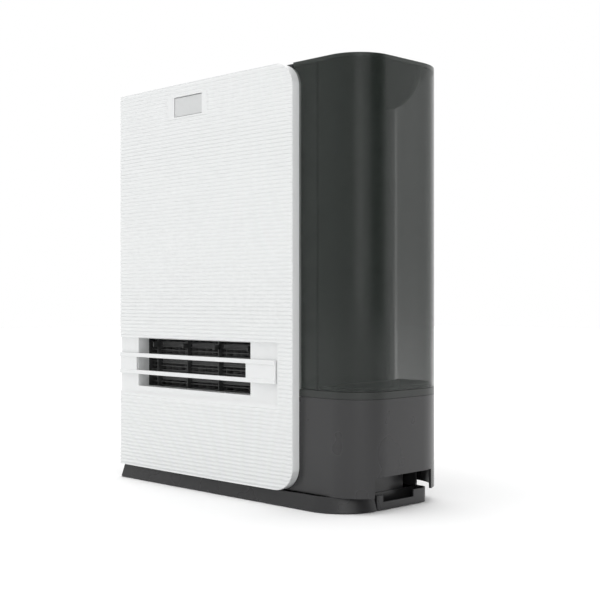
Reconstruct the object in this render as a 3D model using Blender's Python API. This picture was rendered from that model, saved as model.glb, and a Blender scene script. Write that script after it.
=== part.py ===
"""Humidifying fan heater: a low warm-air outlet in a ribbed front panel, a lift-off
water tank on the right and a pull-out water tray under it.

Metres, +Z up. The front faces -Y, the tank is on the +X side, and the origin is the
centre of the footprint on the floor.
"""

import math

import bmesh
import bpy
from mathutils import Matrix, Vector

# ---------------------------------------------------------------- overall sizes
WIDTH = 0.359
DEPTH = 0.1545
HEIGHT = 0.4303

GAP = 0.0003              # between faces that touch
WALL = 0.0025             # moulded walls
TOWER_WALL = 0.0027       # walls of the tall part of the body

X_LEFT = -WIDTH / 2
X_RIGHT = WIDTH / 2
Y_FRONT = -DEPTH / 2      # crown of the bowed front panel
Y_REAR = DEPTH / 2        # rear face of the air filter frame

# ---------------------------------------------------------------- front panel
PANEL_BOW = 0.0015
PANEL_DEPTH = 0.009
PANEL_WIDTH = 0.2787
PANEL_TOP_DROP = 0.0004       # below the very top
PANEL_SKIN = 0.0025
PANEL_OUTER_RADIUS = 0.024    # corners on the tank side
PANEL_INNER_RADIUS = 0.004    # corners on the other side
PANEL_EDGE_ROUND = 0.0015     # upright left edge, rounded back

FACE_Y = Y_FRONT + PANEL_BOW
PANEL_BACK = FACE_Y + PANEL_DEPTH
PANEL_RIGHT = X_LEFT + PANEL_WIDTH
FACE_X = X_LEFT + 0.1227      # centre of the window and of the row of buttons

# ---------------------------------------------------------------- plinth and body
PLINTH_HEIGHT = 0.0148
PLINTH_CLEAR = 0.0008         # the skirt stands this far off the floor
PLINTH_RIGHT = X_RIGHT - 0.0118
PLINTH_REAR_INSET = 0.004
PLINTH_FLARE = 0.004
PLINTH_PLATE = 0.0022
PLINTH_CORNER = 0.044

BODY_Z = PLINTH_HEIGHT + GAP
BODY_LEFT = X_LEFT + 0.003
BODY_FRONT = PANEL_BACK + GAP
BODY_REAR = Y_REAR - 0.004
BODY_SIDE = PANEL_RIGHT + 0.0200    # right wall of the tall part of the body
BODY_TOP = HEIGHT - 0.0051
BODY_LEFT_RADIUS = 0.008
SIDE_FRONT_RADIUS = 0.037
SIDE_REAR_RADIUS = 0.050
SEAM_Z = 0.107                # the tank stands on the base here
SEAT_DEPTH = 0.003
SLANT_Y = BODY_REAR - 0.03180       # the rear right corner of the body is cut back from here
SLANT_X = 0.0173
REBATE_X = PANEL_RIGHT - 0.0094
REBATE_DEPTH = 0.0035

# ---------------------------------------------------------------- rear cover
DOOR_LEFT = BODY_LEFT + 0.008
DOOR_RIGHT = BODY_SIDE - SLANT_X - 0.010
DOOR_LOW = 0.0365
DOOR_HIGH = BODY_TOP - 0.0172
INTAKE_LOW = 0.1900
INTAKE_HIGH = DOOR_HIGH - 0.0380
INTAKE_WIDTH = 0.1900
INTAKE_SLOTS = 16
DAMP_SLOTS = 4                # low slots that feed air over the wick

# ---------------------------------------------------------------- outlet and window
OUTLET_X = FACE_X + 0.0012
OUTLET_WIDTH = 0.1848
OUTLET_LOW = 0.1045
OUTLET_HIGH = 0.1576
OUTLET_SLEEVE = 0.0016
RECESS_DEPTH = 0.0028
THROAT_DEPTH = 0.0146         # from the recess floor to the back of the sleeve
THROAT_BACK = FACE_Y + RECESS_DEPTH + THROAT_DEPTH
RECESS_LOW = 0.0960
RECESS_HIGH = 0.1580
RECESS_RIGHT = 0.0770
BAR_HEIGHT = 0.0044
BAR_LOW_Z = 0.1200
BAR_HIGH_Z = 0.1388
BAR_RIGHT = 0.0747
BAR_BLOCK = 0.0428
BAR_LEFT_BLOCK = 0.0300
WINDOW_WIDTH = 0.0455
WINDOW_HIGH = HEIGHT - 0.0143
WINDOW_LOW = WINDOW_HIGH - 0.0205
WINDOW_THICK = 0.0016

# ---------------------------------------------------------------- tank
TANK_WALL = 0.0025
TANK_CLEAR = 0.0010           # from the tank to the body beside it
TANK_FOOT = 0.0067
TANK_ROOF = 0.0035
TANK_LEFT = BODY_SIDE + TANK_CLEAR
FLANGE_LEFT = REBATE_X + 0.0012
NECK_Y = 0.0022
NECK_RADIUS = 0.0175
NECK_BORE = NECK_RADIUS - 0.0025
CAP_FIT = 0.0005              # from the neck to the cap round it
CAP_WALL = 0.0025
CAP_RIB = 0.0010
CAP_RADIUS = NECK_RADIUS + CAP_FIT + CAP_WALL
CAP_FLOOR_Z = 0.0815
CAP_TOP_Z = 0.1005
CAGE_RADIUS = 0.0118
VALVE_HOLE = 0.0050
GRIP_LENGTH = 0.0370
GRIP_WIDTH = 0.0210
GRIP_DEPTH = 0.0360
GRIP_WALL = 0.0018
GRIP_X = TANK_LEFT + 0.0030
GRIP_Y = BODY_REAR - 0.03675
NUB_TOP_Z = HEIGHT - 0.0453    # three moulded nubs on the tank's inner side
NUB_LOW_Z = SEAM_Z + 0.0570
NUB_PITCH = (NUB_TOP_Z - NUB_LOW_Z) / 2
NUB_Y = SLANT_Y - 0.0055
NUB_REACH = 0.0060
NUB_RADIUS = 0.0016

# ---------------------------------------------------------------- well under the tank
WELL_RADIUS = CAP_RADIUS + CAP_RIB + 0.0015
WELL_WALL = 0.0020
WELL_FLOOR_Z = 0.0700
WELL_FLANGE = 0.0025
NECK_X = X_RIGHT - WALL - 0.0025 - WELL_FLANGE - WELL_WALL - WELL_RADIUS

# ---------------------------------------------------------------- tray and wick
TRAY_LENGTH = 0.1400
TRAY_TUB_RIGHT = PLINTH_RIGHT - 0.0145
TRAY_LEFT = TRAY_TUB_RIGHT - TRAY_LENGTH
TRAY_FRONT = -0.0300
TRAY_REAR = 0.0262
TRAY_TOP = 0.0300
TRAY_WALL = 0.0020
TRAY_LIP_TOP = PLINTH_HEIGHT
TRAY_LIP_LOW = 0.0080
TRAY_LIP_REAR = 0.0472
TRAY_LIP_RADIUS = 0.0090
MOUTH_FRONT = -0.0440
MOUTH_REAR = 0.0390
MOUTH_TOP = 0.0344
GUIDE_LEFT = X_RIGHT - 0.0500
GUIDE_RIGHT = X_RIGHT - 0.0232
GUIDE_THICK = 0.0025
WICK_LENGTH = 0.1080
WICK_HEIGHT = 0.0200
WICK_PLEATS = 18

# ---------------------------------------------------------------- fan and heater
FAN_Y = 0.0215
FAN_Z = 0.1500
FAN_RADIUS = 0.0360
FAN_BLADES = 24
FAN_CLEAR = 0.0030
SHAFT_RADIUS = 0.0030
CASING_WALL = 0.0020
DUCT_LEFT = OUTLET_X - OUTLET_WIDTH / 2 - 0.004
DUCT_RIGHT = OUTLET_X + OUTLET_WIDTH / 2 + 0.004
DUCT_LOW = 0.1005
DUCT_HIGH = 0.1620
GUARD_DEPTH = 0.0080
VANE_PITCH = 0.0516
VANE_THICK = 0.0014
WIRE_PITCH = 0.0044
WIRE_HEIGHT = 0.0012
HEATER_DEPTH = 0.0260
HEATER_BARS = 3
HEATER_FINS = 16
HEATER_SIDE = 0.0040           # walls of the heater frame
HEATER_EDGE = 0.0030
CORE_INSET = 0.0050
CORE_HALF = 0.0022
HEATER_FIN_THICK = 0.0008
THERMOSTAT_X = -0.0200
THERMOSTAT_RADIUS = 0.0080
THERMOSTAT_HEIGHT = 0.0070
FUSE_LEFT = -0.0950
FUSE_RIGHT = -0.0700
FUSE_RADIUS = 0.0022
MOTOR_RADIUS = 0.0300
MOTOR_LENGTH = 0.0360

# ---------------------------------------------------------------- buttons
BUTTON_CLEAR = 0.0005
BUTTON_PROUD = 0.0012
TOP_THICK = 0.0025

# ---------------------------------------------------------------- boards
BOARD_THICK = 0.0016
CONTROL_LEFT = -0.1500
CONTROL_RIGHT = 0.0200
CONTROL_LOW = 0.2350
CONTROL_HIGH = 0.3450
CONTROL_Y = -0.0560
POST_INSET = 0.0100           # the board's four posts, in from its corners
POST_RADIUS = 0.0030
RELAY_BOX = (-0.1350, -0.1060, 0.2620, 0.2820, 0.0200)    # left, right, low, high, depth
TRANSFORMER_BOX = (-0.0850, -0.0500, 0.2550, 0.2900, 0.0280)
SINK_LEFT = -0.0250
SINK_RIGHT = 0.0050
SINK_LOW = 0.2550
SINK_HIGH = 0.3200
SINK_PLATE = 0.0040
SINK_DEPTH = 0.0200
SINK_FINS = 6
SINK_FIN_PITCH = 0.0056
SINK_FIN_THICK = 0.0015

# ---------------------------------------------------------------- small parts
TERMINAL_LEFT = -0.1400
TERMINAL_RIGHT = -0.1050
TERMINAL_FRONT = 0.0200
TERMINAL_REAR = 0.0360
TERMINAL_HEIGHT = 0.0160
TERMINAL_WAYS = 4
TERMINAL_PITCH = 0.0088
SWITCH_LEFT = -0.0900
SWITCH_RIGHT = -0.0660
SWITCH_FRONT = -0.0100
SWITCH_REAR = 0.0120
SWITCH_HEIGHT = 0.0280
SENSOR_LEFT = -0.1500
SENSOR_RIGHT = -0.1320
SENSOR_LOW = 0.1200
SENSOR_HIGH = 0.1400
GLAND_BORE = 0.0036
GLAND_RIM = 0.0020
GLAND_X = -0.1450
GLAND_Z = 0.0520
GLAND_RADIUS = 0.0075
BUSH_RADIUS = 0.0070
VALVE_TIP_Z = CAP_FLOOR_Z - 0.0020
TOP_FACE = HEIGHT - 0.0012    # outer face of the control top
DAMP_LOW = 0.0600
DAMP_PITCH = 0.0120
BUTTON_Y = -0.0430
BUTTONS = (
    ("power_button", FACE_X - 0.0852, BUTTON_Y, 0.0120, 0.0065),
    ("heat_button", FACE_X - 0.0532, BUTTON_Y, 0.0085, 0.0050),
    ("humidify_button", FACE_X - 0.0272, BUTTON_Y, 0.0085, 0.0050),
    ("timer_button", FACE_X - 0.0012, BUTTON_Y, 0.0085, 0.0050),
    ("temp_down_button", FACE_X + 0.0288, BUTTON_Y, 0.0060, 0.0050),
    ("temp_up_button", FACE_X + 0.0488, BUTTON_Y, 0.0060, 0.0050),
)


# ================================================================ helpers
def clear_scene():
    for item in list(bpy.data.objects):
        bpy.data.objects.remove(item, do_unlink=True)


def finish(name, colour, roughness, metallic=0.0, alpha=1.0):
    """One Principled material."""
    material = bpy.data.materials.new(name)
    material.use_nodes = True
    shader = material.node_tree.nodes["Principled BSDF"]
    shader.inputs["Base Color"].default_value = (*colour, 1.0)
    shader.inputs["Roughness"].default_value = roughness
    shader.inputs["Metallic"].default_value = metallic
    shader.inputs["Alpha"].default_value = alpha
    return material


WHITE = ((0.86, 0.87, 0.88), 0.35)
GREY = ((0.075, 0.075, 0.078), 0.5)
DARK = ((0.045, 0.050, 0.047), 0.5)
BLACK = ((0.03, 0.03, 0.03), 0.5)
SMOKE = ((0.10, 0.11, 0.10), 0.1)
STEEL = ((0.60, 0.60, 0.61), 0.3, 1.0)
ALUMINIUM = ((0.75, 0.75, 0.76), 0.35, 1.0)
LENS = ((0.72, 0.73, 0.74), 0.15)
DARK_ALUMINIUM = ((0.05, 0.05, 0.055), 0.45, 1.0)
RUBBER = ((0.04, 0.04, 0.04), 0.8)
BOARD = ((0.05, 0.22, 0.10), 0.5)
CREAM = ((0.80, 0.78, 0.70), 0.6)
WICK = ((0.85, 0.90, 0.92), 0.9)


def keep(name, shape, look):
    """Turn a bmesh into a named object with its own material."""
    mesh = bpy.data.meshes.new(name)
    bmesh.ops.remove_doubles(shape, verts=shape.verts, dist=0.000005)
    bmesh.ops.recalc_face_normals(shape, faces=shape.faces)
    shape.to_mesh(mesh)
    shape.free()
    mesh.materials.append(finish(name + "_finish", *look))
    item = bpy.data.objects.new(name, mesh)
    bpy.context.scene.collection.objects.link(item)
    return item


def rework(item, tool, operation):
    """Apply one Boolean to an object and remove the tool object."""
    step = item.modifiers.new("step", "BOOLEAN")
    step.operation = operation
    step.solver = "EXACT"
    step.object = tool
    graph = bpy.context.evaluated_depsgraph_get()
    result = bpy.data.meshes.new_from_object(item.evaluated_get(graph))
    item.modifiers.clear()
    old = item.data
    item.data = result
    bpy.data.meshes.remove(old)
    waste = tool.data
    bpy.data.objects.remove(tool, do_unlink=True)
    bpy.data.meshes.remove(waste)
    return item


def tool_object(shape):
    return keep("tool", shape, BLACK)


def cut(item, *shapes):
    for shape in shapes:
        rework(item, tool_object(shape), "DIFFERENCE")
    return item


def add(item, *shapes):
    for shape in shapes:
        rework(item, tool_object(shape), "UNION")
    return item


def common(item, shape):
    return rework(item, tool_object(shape), "INTERSECT")


def smooth(item, degrees=40):
    item.data.shade_smooth()
    item.data.set_sharp_from_angle(angle=math.radians(degrees))
    return item


def block(low, high):
    """A box between two opposite corners."""
    shape = bmesh.new()
    bmesh.ops.create_cube(shape, size=1.0)
    size = Vector(high) - Vector(low)
    centre = (Vector(high) + Vector(low)) / 2
    bmesh.ops.scale(shape, vec=size, verts=shape.verts)
    bmesh.ops.translate(shape, vec=centre, verts=shape.verts)
    return shape


def rod(start, end, radius, sides=24, end_radius=None):
    """A round bar or cone between two points."""
    start, end = Vector(start), Vector(end)
    shape = bmesh.new()
    bmesh.ops.create_cone(
        shape, cap_ends=True, cap_tris=False, segments=sides, radius1=radius,
        radius2=radius if end_radius is None else end_radius, depth=(end - start).length)
    turn = Vector((0, 0, 1)).rotation_difference(end - start).to_matrix().to_4x4()
    bmesh.ops.transform(
        shape, matrix=Matrix.Translation((start + end) / 2) @ turn, verts=shape.verts)
    return shape


def turned(profile, centre, sides=32):
    """A solid of revolution about an upright axis, from (radius, z) points."""
    shape = bmesh.new()
    points = [shape.verts.new((centre[0] + r, centre[1], z)) for r, z in profile]
    rim = [shape.edges.new((points[i - 1], points[i])) for i in range(len(points))]
    bmesh.ops.spin(
        shape, geom=points + rim, cent=(centre[0], centre[1], 0), axis=(0, 0, 1),
        angle=math.tau, steps=sides, use_merge=True)
    bmesh.ops.remove_doubles(shape, verts=shape.verts, dist=0.00001)
    return shape


def inset(corners, distance):
    """Move every side of a counter-clockwise corner list inwards."""
    result = []
    for i, (x, y, radius) in enumerate(corners):
        before = Vector((x, y)) - Vector(corners[i - 1][:2])
        after = Vector(corners[(i + 1) % len(corners)][:2]) - Vector((x, y))
        before.normalize()
        after.normalize()
        turn = before.x * after.y - before.y * after.x
        side = Vector((-before.y, before.x)) + Vector((-after.y, after.x))
        shift = side * (distance / (1 + before.dot(after)))
        if radius:
            radius = max(radius - math.copysign(distance, turn), 0.0002)
        result.append((x + shift.x, y + shift.y, radius))
    return result


def rounded(corners, steps=12):
    """Outline points of a corner list (x, y, radius)."""
    points = []
    for i, (x, y, radius) in enumerate(corners):
        here = Vector((x, y))
        if not radius:
            points.append(here)
            continue
        back = (Vector(corners[i - 1][:2]) - here).normalized()
        ahead = (Vector(corners[(i + 1) % len(corners)][:2]) - here).normalized()
        half = back.angle(ahead) / 2
        centre = here + (back + ahead).normalized() * (radius / math.sin(half))
        first = here + back * (radius / math.tan(half)) - centre
        sweep = (math.pi - 2 * half) * math.copysign(1, ahead.x * back.y - ahead.y * back.x)
        count = max(2, round(steps * (math.pi - 2 * half) / (math.pi / 2)))
        for k in range(count + 1):
            spoke = first.copy()
            spoke.rotate(Matrix.Rotation(sweep * k / count, 2))
            points.append(centre + spoke)
    return points


def prism(points, low, high, plane="XY"):
    """Extrude an outline. In plane XZ it runs along Y, in plane YZ along X."""
    place = {
        "XY": lambda a, b, c: (a, b, c),
        "XZ": lambda a, b, c: (a, c, b),
        "YZ": lambda a, b, c: (c, a, b),
    }[plane]
    shape = bmesh.new()
    face = shape.faces.new([shape.verts.new(place(p[0], p[1], low)) for p in points])
    grown = bmesh.ops.extrude_face_region(shape, geom=[face])
    moved = [v for v in grown["geom"] if isinstance(v, bmesh.types.BMVert)]
    bmesh.ops.translate(shape, vec=place(0, 0, high - low), verts=moved)
    bmesh.ops.recalc_face_normals(shape, faces=shape.faces)
    return shape


def join(*shapes):
    """Several separate closed shapes in one bmesh."""
    result = bmesh.new()
    for shape in shapes:
        mesh = bpy.data.meshes.new("join")
        shape.to_mesh(mesh)
        shape.free()
        result.from_mesh(mesh)
        bpy.data.meshes.remove(mesh)
    return result


def hinge_empty(name, place):
    """An empty on a joint's axis, as the parent of the pieces that move on it."""
    empty = bpy.data.objects.new(name, None)
    empty.location = place
    bpy.context.scene.collection.objects.link(empty)
    return empty


def hang(empty, *items):
    bpy.context.view_layer.update()
    for item in items:
        item.parent = empty
        item.matrix_parent_inverse = empty.matrix_world.inverted()


# ================================================================ outlines in plan
def base_corners():
    """Plan of the low part of the body, which reaches under the tank."""
    return [
        (BODY_LEFT, BODY_FRONT, 0.004),
        (X_RIGHT, BODY_FRONT, SIDE_FRONT_RADIUS),
        (X_RIGHT, BODY_REAR, SIDE_REAR_RADIUS),
        (BODY_LEFT, BODY_REAR, BODY_LEFT_RADIUS),
    ]


def tower_corners():
    """Plan of the tall part of the body, beside the tank."""
    return [
        (BODY_LEFT, BODY_FRONT, 0.004),
        (REBATE_X, BODY_FRONT, 0),
        (REBATE_X, BODY_FRONT + REBATE_DEPTH, 0),
        (BODY_SIDE, BODY_FRONT + REBATE_DEPTH, 0.0015),
        (BODY_SIDE, SLANT_Y, 0.004),
        (BODY_SIDE - SLANT_X, BODY_REAR, 0.003),
        (BODY_LEFT, BODY_REAR, BODY_LEFT_RADIUS),
    ]


def bay_corners():
    """Plan of the space beside the tower, cut out above the seam for the tank."""
    out = 0.02
    slope = SLANT_X / (BODY_REAR - SLANT_Y)
    return [
        (REBATE_X, BODY_FRONT - out, 0),
        (X_RIGHT + out, BODY_FRONT - out, 0),
        (X_RIGHT + out, BODY_REAR + out, 0),
        (BODY_SIDE - SLANT_X - out * slope, BODY_REAR + out, 0),
        (BODY_SIDE, SLANT_Y, 0.004),
        (BODY_SIDE, BODY_FRONT + REBATE_DEPTH, 0.0015),
        (REBATE_X, BODY_FRONT + REBATE_DEPTH, 0),
    ]


def tank_corners():
    """Plan of the tank, without its front flange."""
    return [
        (TANK_LEFT, BODY_FRONT, 0.0015),
        (X_RIGHT, BODY_FRONT, SIDE_FRONT_RADIUS),
        (X_RIGHT, BODY_REAR, SIDE_REAR_RADIUS),
        (TANK_LEFT - SLANT_X, BODY_REAR, 0.003),
        (TANK_LEFT, SLANT_Y, 0.005),
    ]


def flanged_corners():
    """Plan of the tank with the flange that covers the front of the body."""
    front, right, rear, slant, side = tank_corners()
    back = BODY_FRONT + TANK_WALL
    return [(FLANGE_LEFT, BODY_FRONT, 0), right, rear, slant, side,
            (TANK_LEFT, back, 0), (FLANGE_LEFT, back, 0)]


# ================================================================ casings
def build_plinth():
    """Base plate with a flared skirt, cut away behind the tray at the rear right."""
    rear = BODY_REAR - PLINTH_REAR_INSET
    foot = [
        (X_LEFT + 0.0005, FACE_Y, 0.004),
        (PLINTH_RIGHT, FACE_Y, PLINTH_CORNER),
        (PLINTH_RIGHT, TRAY_REAR + 0.012, 0.004),
        (PLINTH_RIGHT - 0.045, rear, 0.006),
        (X_LEFT + 0.0005, rear, 0.008),
    ]
    shape = bmesh.new()
    low = [shape.verts.new((p.x, p.y, PLINTH_CLEAR)) for p in rounded(foot)]
    crown = [
        shape.verts.new((p.x, p.y, PLINTH_HEIGHT))
        for p in rounded(inset(foot, PLINTH_FLARE))]
    shape.faces.new(reversed(low))
    shape.faces.new(crown)
    for i in range(len(low)):
        shape.faces.new((low[i - 1], low[i], crown[i], crown[i - 1]))
    plinth = keep("plinth", shape, GREY)
    inner = rounded(inset(foot, PLINTH_FLARE + WALL))
    floor = PLINTH_CLEAR + PLINTH_PLATE
    cut(plinth, prism(inner, floor, PLINTH_HEIGHT + 0.01))
    notch = block(
        (TRAY_TUB_RIGHT - 0.002, TRAY_FRONT - 0.001, PLINTH_CLEAR - 0.01),
        (PLINTH_RIGHT + 0.01, TRAY_REAR + 0.05, PLINTH_HEIGHT + 0.01))
    cut(plinth, notch)
    for n, (x, y) in enumerate(fixing_spots(), 1):
        add(plinth, rod((x, y, PLINTH_CLEAR + 0.0005), (x, y, BODY_Z + 0.006), 0.0045, 16))
        cut(plinth, rod((x, y, PLINTH_CLEAR - 0.001), (x, y, 0.010), 0.0030, 16),
            rod((x, y, 0.009), (x, y, 0.03), 0.0017, 12))
        shank = [(0, 0.0040), (0.0026, 0.0040), (0.0026, 0.0095), (0.0014, 0.0097),
                 (0.0014, 0.0255), (0, 0.0265)]
        smooth(keep(f"plinth_screw_{n}", turned(shank, (x, y), 12), STEEL))


def fixing_spots():
    """The four screws that hold the plinth to the body."""
    front = BODY_FRONT + 0.012
    rear = BODY_REAR - 0.014
    return ((BODY_LEFT + 0.012, front), (0.1300, front), (BODY_LEFT + 0.012, rear),
            (0.0900, rear))


def build_feet():
    """Four rubber pads under the plinth."""
    rear = BODY_REAR - PLINTH_REAR_INSET
    spots = ((X_LEFT + 0.015, FACE_Y + 0.022), (0.105, FACE_Y + 0.018),
             (X_LEFT + 0.015, rear - 0.014), (0.075, rear - 0.014))
    for n, (x, y) in enumerate(spots, 1):
        pad = rod((x, y, 0), (x, y, PLINTH_CLEAR - GAP), 0.007, 20)
        smooth(keep(f"rubber_foot_{n}", pad, RUBBER))


def build_main_housing():
    """One moulding: the tall body, the base under the tank and the seat on it."""
    base = base_corners()
    housing = keep("main_housing", prism(rounded(base), BODY_Z, BODY_TOP), GREY)
    cut(housing, prism(rounded(bay_corners()), SEAM_Z, BODY_TOP + 0.01))
    ceiling = SEAM_Z - SEAT_DEPTH - WALL
    cut(housing, prism(rounded(inset(base, WALL)), BODY_Z - 0.01, ceiling))
    cut(housing, prism(rounded(inset(tower_corners(), TOWER_WALL)), ceiling - 0.005,
                       BODY_TOP + 0.01))
    seat = inset(tank_corners(), WALL + GAP)
    cut(housing, prism(rounded(seat), SEAM_Z - SEAT_DEPTH, SEAM_Z + 0.01))
    cut(housing, rod((NECK_X, NECK_Y, SEAM_Z - 0.02), (NECK_X, NECK_Y, SEAM_Z - SEAT_DEPTH + 0.001),
                     WELL_RADIUS, 28))
    cut(housing, rod((NECK_X, NECK_Y, SEAM_Z - 0.02), (NECK_X, NECK_Y, SEAM_Z + 0.001),
                     NECK_RADIUS + GAP * 2, 28))
    mouth = block((X_RIGHT - 0.03, MOUTH_FRONT, BODY_Z - 0.01),
                  (X_RIGHT + 0.01, MOUTH_REAR, MOUTH_TOP))
    rear_door = block((DOOR_LEFT, BODY_REAR - 0.006, DOOR_LOW),
                      (DOOR_RIGHT, BODY_REAR + 0.01, DOOR_HIGH))
    outlet = block((DUCT_LEFT + 0.001, BODY_FRONT - 0.01, DUCT_LOW + 0.001),
                   (DUCT_RIGHT - 0.001, BODY_FRONT + 0.01, DUCT_HIGH - 0.001))
    half = WINDOW_WIDTH / 2 + 0.004
    window = block((FACE_X - half, BODY_FRONT - 0.01, WINDOW_LOW - 0.004),
                   (FACE_X + half, BODY_FRONT + 0.01, WINDOW_HIGH - 0.002))
    cut(housing, mouth, rear_door, outlet, window)
    guide = MOUTH_REAR + 0.001
    add(housing, block((GUIDE_LEFT, guide, BODY_Z), (GUIDE_RIGHT, guide + GUIDE_THICK, ceiling + 0.001)))
    for x, y in fixing_spots():
        wall_y = BODY_FRONT + 0.001 if y < 0 else BODY_REAR - 0.001
        near, far = sorted((wall_y, y - math.copysign(0.006, y)))
        add(housing, block((x - 0.0055, near, BODY_Z + 0.0065), (x + 0.0055, far, BODY_Z + 0.018)))
        cut(housing, rod((x, y, BODY_Z), (x, y, BODY_Z + 0.014), 0.0018, 12))
    return housing


def build_rear_cover():
    """Plate in the back of the body, with intake slots and a hole for the cord gland."""
    cover = keep("rear_cover", block(
        (DOOR_LEFT + GAP, BODY_REAR - WALL, DOOR_LOW + GAP),
        (DOOR_RIGHT - GAP, BODY_REAR, DOOR_HIGH - GAP)), GREY)
    pitch = (INTAKE_HIGH - INTAKE_LOW) / INTAKE_SLOTS
    half = INTAKE_WIDTH / 2
    slots = []
    for n in range(INTAKE_SLOTS):
        z = INTAKE_LOW + pitch * (n + 0.5)
        for side in (-1, 1):
            near, far = sorted((FACE_X + side * 0.003, FACE_X + side * half))
            slots.append(block((near, BODY_REAR - 0.01, z - pitch * 0.3),
                               (far, BODY_REAR + 0.01, z + pitch * 0.3)))
    for n in range(DAMP_SLOTS):
        z = DAMP_LOW + DAMP_PITCH * n
        slots.append(block((0.010, BODY_REAR - 0.01, z - 0.003),
                           (0.080, BODY_REAR + 0.01, z + 0.003)))
    cut(cover, join(*slots))
    cut(cover, rod((GLAND_X, BODY_REAR - 0.01, GLAND_Z), (GLAND_X, BODY_REAR + 0.01, GLAND_Z),
                   GLAND_RADIUS + GAP, 24))
    return cover


def build_top_cover():
    """Control top that closes the body, with an opening for each button."""
    edge = tower_corners()
    top = keep("top_cover", prism(rounded(edge), BODY_TOP + GAP, TOP_FACE), GREY)
    skirt = inset(edge, WALL + GAP)
    add(top, prism(rounded(skirt), BODY_TOP - 0.006, BODY_TOP + 0.002))
    cut(top, prism(rounded(inset(skirt, WALL)), BODY_TOP - 0.01, TOP_FACE - TOP_THICK))
    for _, x, y, half_x, half_y in BUTTONS:
        hole = block((x - half_x - BUTTON_CLEAR, y - half_y - BUTTON_CLEAR, BODY_TOP - 0.01),
                     (x + half_x + BUTTON_CLEAR, y + half_y + BUTTON_CLEAR, HEIGHT + 0.01))
        cut(top, hole)
    return top


def build_buttons():
    """Push buttons, each on its own empty; a collar under the cover keeps it in."""
    face = TOP_FACE
    for name, x, y, half_x, half_y in BUTTONS:
        cap = block((x - half_x, y - half_y, face - TOP_THICK - 0.0016),
                    (x + half_x, y + half_y, face + BUTTON_PROUD))
        sides = [e for e in cap.edges if e.calc_face_angle() > 1 and
                 abs(e.verts[0].co.z - e.verts[1].co.z) > 0.001]
        bmesh.ops.bevel(cap, geom=sides, offset=min(half_x, half_y) * 0.4, segments=3,
                        affect="EDGES", profile=0.5)
        button = keep(name, cap, WHITE)
        low = face - TOP_THICK - GAP - 0.0015
        add(button, block((x - half_x - 0.0015, y - half_y - 0.0015, low),
                          (x + half_x + 0.0015, y + half_y + 0.0015, low + 0.0013)))
        smooth(button)
        hang(hinge_empty(name + "_axis", (x, y, face)), button)


def build_boards():
    """Display board behind the window, button board, control board and its parts."""
    half = WINDOW_WIDTH / 2
    inner = BODY_FRONT + WALL
    board = keep("display_board", block(
        (FACE_X - half - 0.008, inner + GAP, WINDOW_LOW - 0.010),
        (FACE_X + half + 0.008, inner + GAP + BOARD_THICK, WINDOW_HIGH + 0.002)), BOARD)
    add(board, block((FACE_X - half + 0.002, BODY_FRONT + 0.0002, WINDOW_LOW + 0.001),
                     (FACE_X + half - 0.002, inner + 0.001, WINDOW_HIGH - 0.004)))
    low = TOP_FACE - TOP_THICK - 0.0100
    xs = [b[1] for b in BUTTONS]
    keep("button_board", block((min(xs) - 0.016, BUTTON_Y - 0.010, low),
                               (max(xs) + 0.014, BUTTON_Y + 0.010, low + BOARD_THICK)), BOARD)
    back = CONTROL_Y + BOARD_THICK
    board = keep("control_board", block((CONTROL_LEFT, CONTROL_Y, CONTROL_LOW),
                                        (CONTROL_RIGHT, back, CONTROL_HIGH)), BOARD)
    for x in (CONTROL_LEFT + POST_INSET, CONTROL_RIGHT - POST_INSET):
        for z in (CONTROL_LOW + POST_INSET, CONTROL_HIGH - POST_INSET):
            add(board, rod((x, inner + GAP, z), (x, CONTROL_Y + 0.0005, z), POST_RADIUS, 12))
    back += GAP
    for name, sizes, look in (("power_relay", RELAY_BOX, BLACK),
                              ("transformer", TRANSFORMER_BOX, CREAM)):
        left, right, low, high, depth = sizes
        keep(name, block((left, back, low), (right, back + depth, high)), look)
    sink = keep("heat_sink", block((SINK_LEFT, back, SINK_LOW),
                                   (SINK_RIGHT, back + SINK_PLATE, SINK_HIGH)), ALUMINIUM)
    fins = []
    for n in range(SINK_FINS):
        left = SINK_LEFT + SINK_FIN_PITCH * n
        fins.append(block((left, back + SINK_PLATE - 0.001, SINK_LOW),
                          (left + SINK_FIN_THICK, back + SINK_DEPTH, SINK_HIGH)))
    add(sink, join(*fins))


# ================================================================ front
def panel_plan(extra=0.0):
    """Plan of the panel: bowed front, left edge rounded back."""
    centre = (X_LEFT + PANEL_RIGHT) / 2
    half = PANEL_WIDTH / 2
    steps = 12
    points = [(PANEL_RIGHT, PANEL_BACK + extra), (X_LEFT, PANEL_BACK + extra)]
    for k in range(5):
        angle = math.radians(90 * k / 4)
        points.append((X_LEFT + PANEL_EDGE_ROUND * (1 - math.cos(angle)),
                       FACE_Y + PANEL_EDGE_ROUND * (1 - math.sin(angle))))
    for k in range(1, steps + 1):
        x = X_LEFT + PANEL_EDGE_ROUND + (PANEL_WIDTH - PANEL_EDGE_ROUND) * k / steps
        points.append((x, FACE_Y - PANEL_BOW * max(0.0, 1 - ((x - centre) / half) ** 2)))
    return points


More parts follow.
